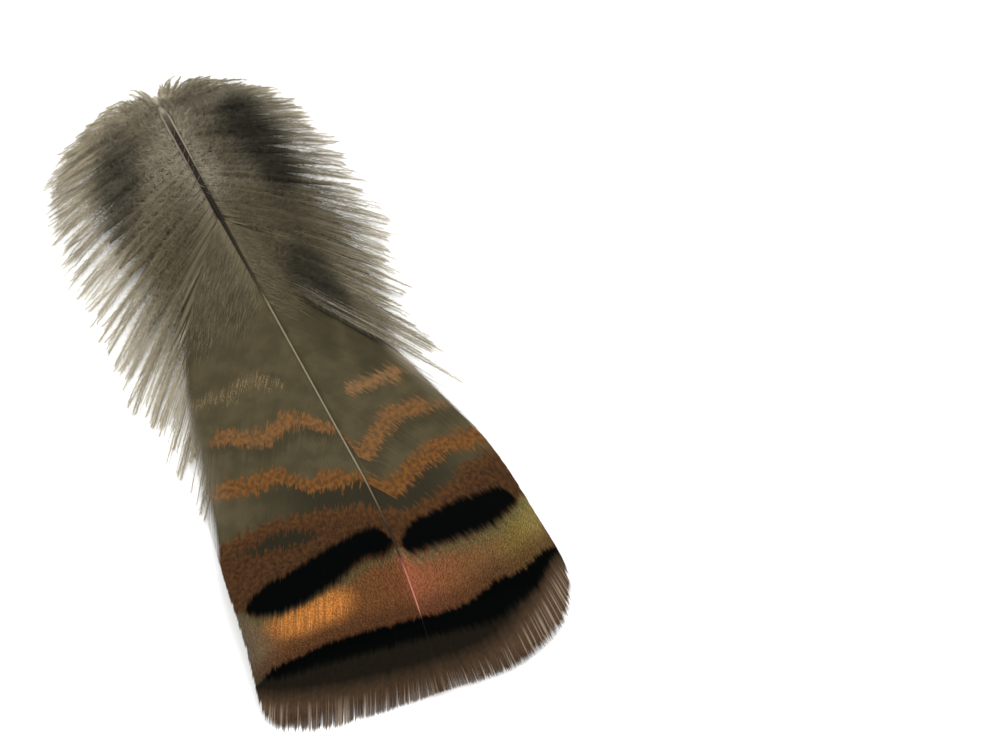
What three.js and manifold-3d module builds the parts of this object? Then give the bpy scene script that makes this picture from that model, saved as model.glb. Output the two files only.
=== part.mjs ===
import * as THREE from 'three';
import { mergeVertices } from 'three/addons/utils/BufferGeometryUtils.js';
import Module from 'manifold-3d';

// A broad, square-ended feather that lies upper side up. Millimetres, +Z up.
// The quill end points to +Y and the tip to -Y. Left is -X, seen from above with the tip nearest.

// Line of the shaft: straight at first, then it curls down and towards -X
const LENGTH = 110;
const STRAIGHT_LENGTH = 77;
const RISE = THREE.MathUtils.degToRad(5);
const FALL = THREE.MathUtils.degToRad(28);
const BEND = THREE.MathUtils.degToRad(12.5);
const QUILL_HEIGHT = 0.5;
const LINE_STEPS = 80;

// Shaft: distance from the quill end, and the radius there
const SHAFT_RADII = [
  [0, 0.4], [0.8, 0.6], [2.5, 0.74], [5, 0.8], [14, 0.7], [33, 0.42], [45, 0.28], [85, 0.17], [104, 0.1],
];
const SHAFT_RINGS = 24;
const SHAFT_RING_SPREAD = 1.5;
const SHAFT_SIDES = 8;

// Vanes: a thin sheet of barbs, arched from side to side and flatter at the tip
const VANE_THICKNESS = 0.5;
const ARCH_RADIUS = 66;
const TIP_ARCH_RADIUS = 250;
const PIECE_GAP = 0.3;
const VANE_BARBS = 46;
const VANE_STEPS = 6;
const BARB_ANGLE = THREE.MathUtils.degToRad(38);
const BARB_SWEEP = 0.72;
const FRINGE_START = 104;
const FRINGE_NOTCH = 0.5;

// Barbs that set each vane's outline: root along the shaft, then the tip along and across it
const LEFT_BARBS = [
  [41, 71, 21.8], [46, 84, 22.8], [51, 96, 23.2], [56, 105.3, 23.5], [60, 109.2, 22.3], [66, 110.8, 18.8],
  [74, 111.4, 15.5], [82, 111.1, 12], [89, 110.8, 8.6], [96, 110.4, 4.8], [103, 110, 0.8],
];
const RIGHT_BARBS = [
  [42, 71, 16.2], [46, 81.5, 18.3], [51, 91.5, 19.6], [56, 99.8, 20.9], [61, 104.6, 19.2], [68, 107.2, 16],
  [76, 108.6, 12.8], [84, 109.5, 9.6], [91, 109.8, 6.2], [97, 109.9, 3.2], [103, 109.9, 0.8],
];

// Down: tapered locks that are fused at their roots and free at their tips
const LOCKS_PER_SIDE = 22;
const LOCK_RINGS = 5;
const LOCK_SIDES = 6;
const LOCK_HALF_WIDTH = 1.3;
const LOCK_HALF_HEIGHT = 0.55;
const LOCK_SWELL = 0.9;
const LOCK_SWEEP = 0.6;
const FIRST_LOCK_ANGLE = THREE.MathUtils.degToRad(75);
const LAST_LOCK_ANGLE = THREE.MathUtils.degToRad(36);
const LOCK_LIFT = 1.6;
const LOW_TIP = -0.3;
const HIGH_TIP = 1.6;
const LEFT_LOCKS = [
  [3, -2.5, 4], [5, 4, 13], [8, 7.5, 20], [12, 13, 23.4], [17, 20, 25], [22, 29, 26.2],
  [27, 39, 26.3], [31, 48, 25.2], [34.5, 56, 24.5], [37, 62, 23.8], [39, 67, 23],
];
const RIGHT_LOCKS = [
  [3, -2.5, 4], [5, 4, 12.5], [8, 8, 18.5], [12, 13, 21.5], [17, 20, 23], [22, 29, 24],
  [27, 39, 24], [31, 47, 23], [34.5, 55, 21.8], [37, 62, 20.6], [39, 69, 19.4],
];

const wasm = await Module();
wasm.setup();

// Slope and heading of the shaft line at a distance from the quill end
function turnAt(along) {
  const share = Math.max(0, along - STRAIGHT_LENGTH) / (LENGTH - STRAIGHT_LENGTH);
  return { slope: -RISE + (RISE + FALL) * share, heading: -BEND * share };
}

function directionAt(along) {
  const { slope, heading } = turnAt(along);
  return new THREE.Vector3(
    Math.sin(heading) * Math.cos(slope),
    -Math.cos(heading) * Math.cos(slope),
    -Math.sin(slope),
  );
}

// Point on the shaft line, summed in short straight steps
function lineAt(along) {
  const point = new THREE.Vector3(0, 0, QUILL_HEIGHT);
  const step = along / LINE_STEPS;
  for (let i = 0; i < LINE_STEPS; i += 1) {
    point.addScaledVector(directionAt((i + 0.5) * step), step);
  }
  return point;
}

// Point, sideways direction and upward direction at a place on the shaft line
function frameAt(along) {
  const { heading } = turnAt(along);
  const side = new THREE.Vector3(Math.cos(heading), Math.sin(heading), 0);
  const up = new THREE.Vector3().crossVectors(directionAt(along), side);
  return { point: lineAt(along), side, up };
}

function archAt(along) {
  const share = THREE.MathUtils.clamp((along - STRAIGHT_LENGTH) / (LENGTH - STRAIGHT_LENGTH), 0, 1);
  return THREE.MathUtils.lerp(1 / ARCH_RADIUS, 1 / TIP_ARCH_RADIUS, share);
}

// Point on the arched sheet, raised above its middle
function sheetAt(along, across, raise) {
  const { point, side, up } = frameAt(along);
  const drop = 0.5 * archAt(along) * across * across;
  return point.addScaledVector(side, across).addScaledVector(up, raise - drop);
}

function shaftRadiusAt(along) {
  const last = SHAFT_RADII.length - 1;
  const next = SHAFT_RADII.findIndex(([distance]) => distance > along);
  const i = next < 0 ? last : next;
  const [fromAlong, fromRadius] = SHAFT_RADII[i - 1];
  const [toAlong, toRadius] = SHAFT_RADII[i];
  const share = Math.min(1, (along - fromAlong) / (toAlong - fromAlong));
  return THREE.MathUtils.lerp(fromRadius, toRadius, share);
}

// Smooth line through the listed barbs: each point holds a root and its tip
function barbLine(barbs) {
  return new THREE.CatmullRomCurve3(barbs.map((barb) => new THREE.Vector3(...barb)), false, 'centripetal');
}

// One barb or lock in the feather's plane, from beside the shaft to its tip
function barbCurve(barb, side, angle, sweep) {
  const root = shaftRadiusAt(barb.x) + PIECE_GAP;
  const reach = sweep * (barb.z - root);
  return new THREE.QuadraticBezierCurve(
    new THREE.Vector2(barb.x, side * root),
    new THREE.Vector2(barb.x + reach / Math.tan(angle), side * (root + reach)),
    new THREE.Vector2(barb.y, side * barb.z),
  );
}

// Closed body from its points and triangles, turned inside out for a mirrored side
function bodyFrom(points, triangles, mirrored) {
  const order = mirrored ? triangles.map(([a, b, c]) => [a, c, b]) : triangles;
  return new wasm.Manifold(new wasm.Mesh({
    numProp: 3,
    vertProperties: new Float32Array(points.flatMap((point) => point.toArray())),
    triVerts: new Uint32Array(order.flat()),
  }));
}

// Skin over equal rings of points, closed by a point at each end
function skinRings(rings, startPoint, endPoint, mirrored) {
  const sides = rings[0].length;
  const points = [...rings.flat(), startPoint, endPoint];
  const start = rings.length * sides;
  const lastRing = start - sides;
  const triangles = [];
  for (let k = 0; k < sides; k += 1) {
    const next = (k + 1) % sides;
    triangles.push([start, next, k], [start + 1, lastRing + k, lastRing + next]);
    for (let i = 0; i < lastRing; i += sides) {
      triangles.push([i + k, i + next, i + sides + k], [i + next, i + sides + next, i + sides + k]);
    }
  }
  return bodyFrom(points, triangles, mirrored);
}

// Plate between an upper and a lower grid of points
function skinPlate(upper, lower, mirrored) {
  const columns = upper.length;
  const rows = upper[0].length;
  const points = [...upper.flat(), ...lower.flat()];
  const under = columns * rows;
  const triangles = [];
  const quad = (a, b, c, d) => triangles.push([a, b, c], [a, c, d]);
  for (let i = 0; i < columns - 1; i += 1) {
    for (let j = 0; j < rows - 1; j += 1) {
      const a = i * rows + j;
      const b = a + rows;
      quad(a, a + 1, b + 1, b);
      quad(under + a, under + b, under + b + 1, under + a + 1);
    }
  }
  const border = (a, b) => quad(b, a, under + a, under + b);
  for (let i = 0; i < columns - 1; i += 1) {
    border((i + 1) * rows, i * rows);
    border(i * rows + rows - 1, (i + 1) * rows + rows - 1);
  }
  for (let j = 0; j < rows - 1; j += 1) {
    border(j, j + 1);
    border((columns - 1) * rows + j + 1, (columns - 1) * rows + j);
  }
  return bodyFrom(points, triangles, mirrored);
}

// Everything under the surface that the feather lies on
function tableBody() {
  const size = 3 * LENGTH;
  const box = new THREE.BoxGeometry(size, size, size).translate(0, 0, -size / 2);
  box.deleteAttribute('normal');
  box.deleteAttribute('uv');
  const merged = mergeVertices(box);
  return new wasm.Manifold(new wasm.Mesh({
    numProp: 3,
    vertProperties: merged.getAttribute('position').array,
    triVerts: new Uint32Array(merged.index.array),
  }));
}

const table = tableBody();

function makeMesh(name, body, colour, roughness) {
  const { vertProperties, triVerts } = body.subtract(table).getMesh();
  const geometry = new THREE.BufferGeometry();
  geometry.setAttribute('position', new THREE.BufferAttribute(vertProperties, 3));
  geometry.setIndex(new THREE.BufferAttribute(triVerts, 1));
  geometry.computeVertexNormals();
  const material = new THREE.MeshStandardMaterial({ color: colour, roughness, metalness: 0 });
  const mesh = new THREE.Mesh(geometry, material);
  mesh.name = name;
  return mesh;
}

// Quill and rachis: one tapered rod along the shaft line
function makeShaft() {
  const shaftEnd = SHAFT_RADII[SHAFT_RADII.length - 1][0];
  const rings = [];
  for (let i = 0; i < SHAFT_RINGS; i += 1) {
    const along = shaftEnd * (i / (SHAFT_RINGS - 1)) ** SHAFT_RING_SPREAD;
    const { point, side, up } = frameAt(along);
    const radius = shaftRadiusAt(along);
    const ring = [];
    for (let k = 0; k < SHAFT_SIDES; k += 1) {
      const turn = (2 * Math.PI * k) / SHAFT_SIDES;
      ring.push(point.clone()
        .addScaledVector(side, radius * Math.cos(turn))
        .addScaledVector(up, radius * Math.sin(turn)));
    }
    rings.push(ring);
  }
  return skinRings(rings, lineAt(0), lineAt(shaftEnd), false);
}

// One vane: barbs side by side from the shaft to the outline, with notched tips
function makeVane(barbs, side) {
  const line = barbLine(barbs);
  const upper = [];
  const lower = [];
  for (let i = 0; i < VANE_BARBS; i += 1) {
    const barb = line.getPoint(i / (VANE_BARBS - 1));
    const notched = i % 2 === 1 && barb.y > FRINGE_START;
    barb.y -= notched ? FRINGE_NOTCH : 0;
    const curve = barbCurve(barb, side, BARB_ANGLE, BARB_SWEEP);
    const places = curve.getPoints(VANE_STEPS);
    upper.push(places.map((place) => sheetAt(place.x, place.y, VANE_THICKNESS / 2)));
    lower.push(places.map((place) => sheetAt(place.x, place.y, -VANE_THICKNESS / 2)));
  }
  return skinPlate(upper, lower, side > 0);
}

// One lock: a flat tapered body that swells, lifts and falls to the surface
function makeLock(barb, side, angle, tipHeight) {
  const curve = barbCurve(barb, side, angle, LOCK_SWEEP);
  const rootHeight = lineAt(barb.x).z;
  const centreAt = (share) => {
    const place = curve.getPoint(share);
    const point = sheetAt(place.x, place.y, 0);
    point.z = THREE.MathUtils.lerp(rootHeight, tipHeight, share) + LOCK_LIFT * Math.sin(Math.PI * share);
    return point;
  };
  const rings = [];
  for (let i = 0; i < LOCK_RINGS; i += 1) {
    const share = i / LOCK_RINGS;
    const size = (1 + LOCK_SWELL * Math.sin(Math.PI * share)) * Math.sqrt(1 - share);
    const centre = centreAt(share);
    const ring = [];
    for (let k = 0; k < LOCK_SIDES; k += 1) {
      const turn = (2 * Math.PI * k) / LOCK_SIDES;
      ring.push(centre.clone().add(new THREE.Vector3(
        0,
        LOCK_HALF_WIDTH * size * Math.cos(turn),
        LOCK_HALF_HEIGHT * size * Math.sin(turn),
      )));
    }
    rings.push(ring);
  }
  return skinRings(rings, centreAt(0), centreAt(1), side < 0);
}

// Downy part of one side: locks joined where they overlap
function makeDown(barbs, side) {
  const line = barbLine(barbs);
  let down = null;
  for (let i = 0; i < LOCKS_PER_SIDE; i += 1) {
    const share = i / (LOCKS_PER_SIDE - 1);
    const angle = THREE.MathUtils.lerp(FIRST_LOCK_ANGLE, LAST_LOCK_ANGLE, share);
    const lock = makeLock(line.getPoint(share), side, angle, i % 2 ? HIGH_TIP : LOW_TIP);
    down = down ? down.add(lock) : lock;
  }
  return down;
}

const feather = new THREE.Group();
feather.add(
  makeMesh('shaft', makeShaft(), 0x8a7f6c, 0.5),
  makeMesh('left_vane', makeVane(LEFT_BARBS, -1), 0x4a4335, 0.7),
  makeMesh('right_vane', makeVane(RIGHT_BARBS, 1), 0x4a4335, 0.7),
  makeMesh('left_down', makeDown(LEFT_LOCKS, -1), 0x736c5c, 0.9),
  makeMesh('right_down', makeDown(RIGHT_LOCKS, 1), 0x736c5c, 0.9),
);

// The origin is on the surface, under the middle of the feather's box
const middle = new THREE.Box3().setFromObject(feather).getCenter(new THREE.Vector3());
feather.position.set(-middle.x, -middle.y, 0);

const part = new THREE.Group();
part.add(feather);

export default part;
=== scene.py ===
"""A broad barred feather on a pale table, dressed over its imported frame.

The feather's own plane is measured in millimetres: "along" runs from the quill end to the tip and
"across" runs from the shaft to the right. Meshes are written in metres in the frame of the solids.
"""

import logging
import math
from dataclasses import dataclass, field
from enum import Enum

import bmesh
import bpy
import numpy as np
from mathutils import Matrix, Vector


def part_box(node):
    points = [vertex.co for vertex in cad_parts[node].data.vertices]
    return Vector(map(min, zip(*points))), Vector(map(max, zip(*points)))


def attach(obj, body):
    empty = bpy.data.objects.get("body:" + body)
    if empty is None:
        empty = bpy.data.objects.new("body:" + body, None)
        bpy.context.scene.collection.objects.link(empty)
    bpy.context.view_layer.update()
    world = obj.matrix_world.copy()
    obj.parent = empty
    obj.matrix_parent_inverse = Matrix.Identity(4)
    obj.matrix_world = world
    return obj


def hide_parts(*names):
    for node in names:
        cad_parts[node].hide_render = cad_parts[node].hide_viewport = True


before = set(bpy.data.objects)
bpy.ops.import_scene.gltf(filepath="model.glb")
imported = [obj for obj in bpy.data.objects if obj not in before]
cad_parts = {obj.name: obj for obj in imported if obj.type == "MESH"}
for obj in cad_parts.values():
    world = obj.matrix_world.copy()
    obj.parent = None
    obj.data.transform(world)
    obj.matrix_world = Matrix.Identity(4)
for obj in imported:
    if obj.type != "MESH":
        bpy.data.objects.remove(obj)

LOG = logging.getLogger("feather")
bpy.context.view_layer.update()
MM = 0.001
QUILL_RADIUS = 0.8
FLOOR_CLEARANCE = 0.04
UP = np.array([0.0, 0.0, 1.0])

# The plan map holds the feather's plane, and the curves of the bars reach to an edge on both sides
PLAN_WIDTH = 60.0
PLAN_LENGTH = 120.0
PLAN_START = -5.0
CURVE_EDGE = 24.0

# A strand's chance number tells its kind to the finish of the down
# A chance of 0 marks the dark last ribs of the right down's upper core: a painted shadow along its edge over
# the vane.
SHADOW_RIB = 0.0
LOWER_CORE = 0.02
UPPER_CORE = 0.4
COMMON_CHANCE = (0.03, 0.87)
SLEEK_CHANCE = (0.86, 1.0)
VEIL_CHANCE = (0.03, 0.93)

# Chance numbers between which one kind eases into the next
SHADOW_EASE = (0.02, 0.01)
CORE_EASE = (0.028, 0.024)
PALE_EASE = (0.88, 0.94)

Colour = tuple[float, float, float]
Range = tuple[float, float]
Place = tuple[float, float, float]
Points = tuple[tuple[float, float], ...]
Stations = tuple[tuple[float, float, float], ...]
Stops = tuple[tuple[float, Colour], ...]
Socket = bpy.types.NodeSocket
Number = float | Socket
Shade = tuple[float, float, float, float] | Socket


class Side(Enum):
    """Side of the shaft, seen from above with the tip nearest."""

    LEFT = -1
    RIGHT = 1


class Layer(Enum):
    """Layer of the down: on the table, or lifted above it."""

    LOWER = "lower"
    UPPER = "upper"


def smooth_step(value: np.ndarray, low: float, high: float) -> np.ndarray:
    """Eases from 0 at low to 1 at high.

    Args:
        value: Values to ease.
        low: Value that gives 0.
        high: Value that gives 1.

    Returns:
        The eased values.
    """
    share = np.clip((value - low) / (high - low), 0.0, 1.0)
    return share * share * (3.0 - 2.0 * share)


def unit(vectors: np.ndarray) -> np.ndarray:
    """Scales vectors on the last axis to length 1."""
    return vectors / np.maximum(np.linalg.norm(vectors, axis=-1, keepdims=True), 1e-9)


def pairs(first: np.ndarray, second: np.ndarray) -> np.ndarray:
    """Joins two arrays on a new last axis, each spread to their common shape."""
    return np.stack(np.broadcast_arrays(first, second), -1)


def plan_along(along: float | np.ndarray) -> float | np.ndarray:
    """Turns a place along the feather into a share of the plan."""
    return (along - PLAN_START) / PLAN_LENGTH


def plan_across(across: float | np.ndarray) -> float | np.ndarray:
    """Turns a place across the feather into a share of the plan."""
    return across / PLAN_WIDTH + 0.5


def curve_share(across: float) -> float:
    """Turns a place across the feather into a share of the bars' curves."""
    return (across + CURVE_EDGE) / (2 * CURVE_EDGE)


def shifted(edge: Points, reach: float) -> Points:
    """Moves an edge of a bar towards the tip."""
    return tuple((across, along + reach) for across, along in edge)


def linear(colour: Colour) -> tuple[float, float, float, float]:
    """Turns a screen colour of 0 to 255 into the linear colour that a socket takes.

    Args:
        colour: Red, green and blue as seen on screen.

    Returns:
        Linear red, green and blue with full alpha.
    """
    shares = [channel / 255.0 for channel in colour]
    return tuple(c / 12.92 if c <= 0.04045 else ((c + 0.055) / 1.055) ** 2.4 for c in shares) + (1.0,)


@dataclass(frozen=True)
class ShaftLine:
    """The line of the shaft: straight, then curling down and to the left."""

    origin: tuple[float, float]
    length: float = 110.0
    straight: float = 77.0
    rise: float = math.radians(5.0)
    fall: float = math.radians(28.0)
    bend: float = math.radians(12.5)
    quill_height: float = 0.5
    step: float = 0.1
    overrun: float = 10.0

    def frames(self, along: np.ndarray) -> tuple[np.ndarray, np.ndarray, np.ndarray]:
        """Finds the moving frame at places on the line.

        Args:
            along: Distances from the quill end.

        Returns:
            Points, directions to the right and directions up, each with a last axis of 3.
        """
        grid = np.arange(-self.overrun, self.length + self.overrun, self.step)
        share = np.clip((grid - self.straight) / (self.length - self.straight), 0.0, None)
        slope = -self.rise + (self.rise + self.fall) * share
        heading = -self.bend * share
        level = np.cos(slope)
        ahead = np.stack([np.sin(heading) * level, -np.cos(heading) * level, -np.sin(slope)], -1)
        right = np.stack([np.cos(heading), np.sin(heading), np.zeros_like(heading)], -1)
        walked = np.cumsum(ahead, axis=0) * self.step
        start = np.array([np.interp(0.0, grid, walked[:, k]) for k in range(3)])
        points = walked - start + np.array([*self.origin, self.quill_height])
        tables = points, right, np.cross(ahead, right)
        return tuple(np.stack([np.interp(along, grid, t[:, k]) for k in range(3)], -1) for t in tables)


@dataclass(frozen=True)
class Sheet:
    """The arched sheet that the vanes lie in."""

    line: ShaftLine
    arch_radius: float = 66.0
    tip_arch_radius: float = 250.0

    def at(self, along: np.ndarray, across: np.ndarray, raised: np.ndarray | float = 0.0) -> np.ndarray:
        """Places points on the sheet or above it.

        Args:
            along: Distances from the quill end.
            across: Distances to the right of the shaft.
            raised: Heights above the sheet.

        Returns:
            Points in millimetres.
        """
        points, right, up = self.line.frames(along)
        line = self.line
        share = np.clip((along - line.straight) / (line.length - line.straight), 0.0, 1.0)
        bow = (1.0 - share) / self.arch_radius + share / self.tip_arch_radius
        height = raised - 0.5 * bow * across * across
        return points + right * across[..., None] + up * np.asarray(height)[..., None]


@dataclass(frozen=True)
class BarbFan:
    """Barbs that leave one side of the shaft and sweep to an outline.

    Each station gives a barb's root along the shaft, then its tip along and across it.
    """

    stations: Stations
    side: Side
    first_angle: float
    last_angle: float
    first_sweep: float
    last_sweep: float
    root_offset: float
    sweep_ranks: float = 0.4

    def barb(self, rank: np.ndarray) -> np.ndarray:
        """Finds barbs by rank on a smooth line through the stations.

        Args:
            rank: 0 for the first station and 1 for the last.

        Returns:
            Root along, tip along and tip across, on the last axis.
        """
        knots = np.array(self.stations)
        last = len(knots) - 1
        place = np.clip(rank, 0.0, 1.0) * last
        index = np.minimum(place.astype(int), last - 1)
        t = (place - index)[..., None]
        before, start = knots[np.maximum(index - 1, 0)], knots[index]
        end, after = knots[index + 1], knots[np.minimum(index + 2, last)]
        bend = 2 * before - 5 * start + 4 * end - after
        twist = 3 * start - before - 3 * end + after
        return start + 0.5 * t * (end - before + t * (bend + t * twist))

    def places(self, rank: np.ndarray, share: np.ndarray) -> tuple[np.ndarray, np.ndarray]:
        """Finds places on barbs in the feather's plane.

        Args:
            rank: Rank of each barb.
            share: Share of the way from root to tip.

        Returns:
            Distances along and across.
        """
        barb = self.barb(rank)
        root, tip_along, tip_across = barb[..., 0], barb[..., 1], barb[..., 2]
        angle = self.first_angle + (self.last_angle - self.first_angle) * rank
        early = smooth_step(rank, self.sweep_ranks, 0.0)
        sweep = self.last_sweep + (self.first_sweep - self.last_sweep) * early
        reach = sweep * (tip_across - self.root_offset)
        rest = 1.0 - share
        along = rest**2 * root + 2 * share * rest * (root + reach / np.tan(angle)) + share**2 * tip_along
        across = rest**2 * self.root_offset + 2 * share * rest * (self.root_offset + reach)
        return along, self.side.value * (across + share**2 * tip_across)


def tube_triangles(tubes: int, rings: int, sides: int) -> np.ndarray:
    """Numbers the triangles of many closed tubes whose points are stored ring by ring.

    Args:
        tubes: How many tubes.
        rings: Rings in each tube.
        sides: Points in each ring.

    Returns:
        Point numbers, three a row, facing out where rings turn to the right about the way ahead.
    """
    rows = []
    for k in range(sides):
        follow = (k + 1) % sides
        for i in range(rings - 1):
            here, ahead = i * sides, (i + 1) * sides
            rows.append((here + k, here + follow, ahead + k))
            rows.append((here + follow, ahead + follow, ahead + k))
    end = (rings - 1) * sides
    for k in range(1, sides - 1):
        rows.append((0, k + 1, k))
        rows.append((end, end + k, end + k + 1))
    return np.array(rows)[None] + (np.arange(tubes) * rings * sides)[:, None, None]


@dataclass
class Skin:
    """A triangle mesh being gathered, with its map coordinates.

    A strand coordinate is a chance number that the whole strand shares, and the share along it.
    """

    name: str
    points: list[np.ndarray] = field(default_factory=list)
    triangles: list[np.ndarray] = field(default_factory=list)
    plans: list[np.ndarray] = field(default_factory=list)
    strands: list[np.ndarray] = field(default_factory=list)
    count: int = 0

    def add(self, points: np.ndarray, triangles: np.ndarray, plan: np.ndarray, strand: np.ndarray) -> None:
        """Adds a batch of points and triangles.

        Args:
            points: Points in millimetres, with the corners of one ring or spike on the axis before last.
            triangles: Point numbers within this batch, three a row.
            plan: Along and across of each ring or spike.
            strand: Strand coordinates of each ring or spike.
        """
        shape = points.shape[:-1] + (2,)
        self.points.append(points.reshape(-1, 3))
        self.triangles.append(triangles.reshape(-1, 3) + self.count)
        self.plans.append(np.broadcast_to(plan[..., None, :], shape).reshape(-1, 2))
        self.strands.append(np.broadcast_to(strand[..., None, :], shape).reshape(-1, 2))
        self.count += len(self.points[-1])

    def add_tubes(self, rings: np.ndarray, plan: np.ndarray, strand: np.ndarray, turned: bool) -> None:
        """Adds closed tubes.

        Args:
            rings: Corners of each ring of each tube.
            plan: Along and across of each ring.
            strand: Strand coordinates of each ring.
            turned: Take the corners the other way round, so that the tubes face out.
        """
        if turned:
            rings = rings[:, :, ::-1]
        self.add(rings, tube_triangles(*rings.shape[:3]), plan, strand)

    def add_spikes(
        self,
        foot: np.ndarray,
        spike: np.ndarray,
        hint: np.ndarray,
        radius: np.ndarray,
        plan: np.ndarray,
        strand: np.ndarray,
    ) -> None:
        """Adds closed three-sided spikes.

        Args:
            foot: Middle of each spike's foot.
            spike: Way from each foot to its tip.
            hint: Directions that aren't in line with the spikes.
            radius: Radius of each foot.
            plan: Along and across of each spike.
            strand: Strand coordinates of each spike.
        """
        ahead = unit(spike)
        near = unit(np.cross(ahead, hint))
        far = np.cross(ahead, near)
        turns = np.arange(3) * 2 * np.pi / 3
        corners = [foot + radius[..., None] * (near * math.cos(a) + far * math.sin(a)) for a in turns]
        points = np.stack([*corners, foot + spike], -2)
        one = np.array([(0, 2, 1), (0, 1, 3), (1, 2, 3), (2, 0, 3)])
        triangles = one[None] + 4 * np.arange(points.size // 12)[:, None, None]
        self.add(points, triangles, plan, strand)

    def piece(self, node: str, slot: str, material: bpy.types.Material) -> bpy.types.Object:
        """Writes the mesh as a piece of the object.

        Args:
            node: Solid that the piece stands for.
            slot: Not used.
            material: Finish of the piece.

        Returns:
            The new object.
        """
        points = np.concatenate(self.points)
        points[:, 2] = np.maximum(points[:, 2], FLOOR_CLEARANCE)
        corners = np.concatenate(self.triangles).ravel()
        faces = len(corners) // 3
        plan = np.concatenate(self.plans)
        spot = np.stack([plan_across(plan[:, 1]), plan_along(plan[:, 0])], -1)
        mesh = bpy.data.meshes.new(self.name)
        mesh.vertices.add(len(points))
        mesh.vertices.foreach_set("co", (points * MM).astype(np.float32).ravel())
        mesh.loops.add(len(corners))
        mesh.loops.foreach_set("vertex_index", corners.astype(np.int32))
        mesh.polygons.add(faces)
        mesh.polygons.foreach_set("loop_start", np.arange(0, len(corners), 3, dtype=np.int32))
        mesh.polygons.foreach_set("use_smooth", np.ones(faces, dtype=bool))
        maps = {"plan": spot, "strand": np.concatenate(self.strands), "OFBake": np.clip(spot, 0.0, 1.0)}
        for name, values in maps.items():
            layer = mesh.uv_layers.new(name=name)
            layer.data.foreach_set("uv", values[corners].astype(np.float32).ravel())
        mesh.update(calc_edges=True)
        mesh.materials.append(material)
        piece = bpy.data.objects.new(self.name, mesh)
        bpy.context.collection.objects.link(piece)
        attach(piece, "root")
        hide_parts(node)
        LOG.info("%s: %d triangles", self.name, faces)
        return piece


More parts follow.
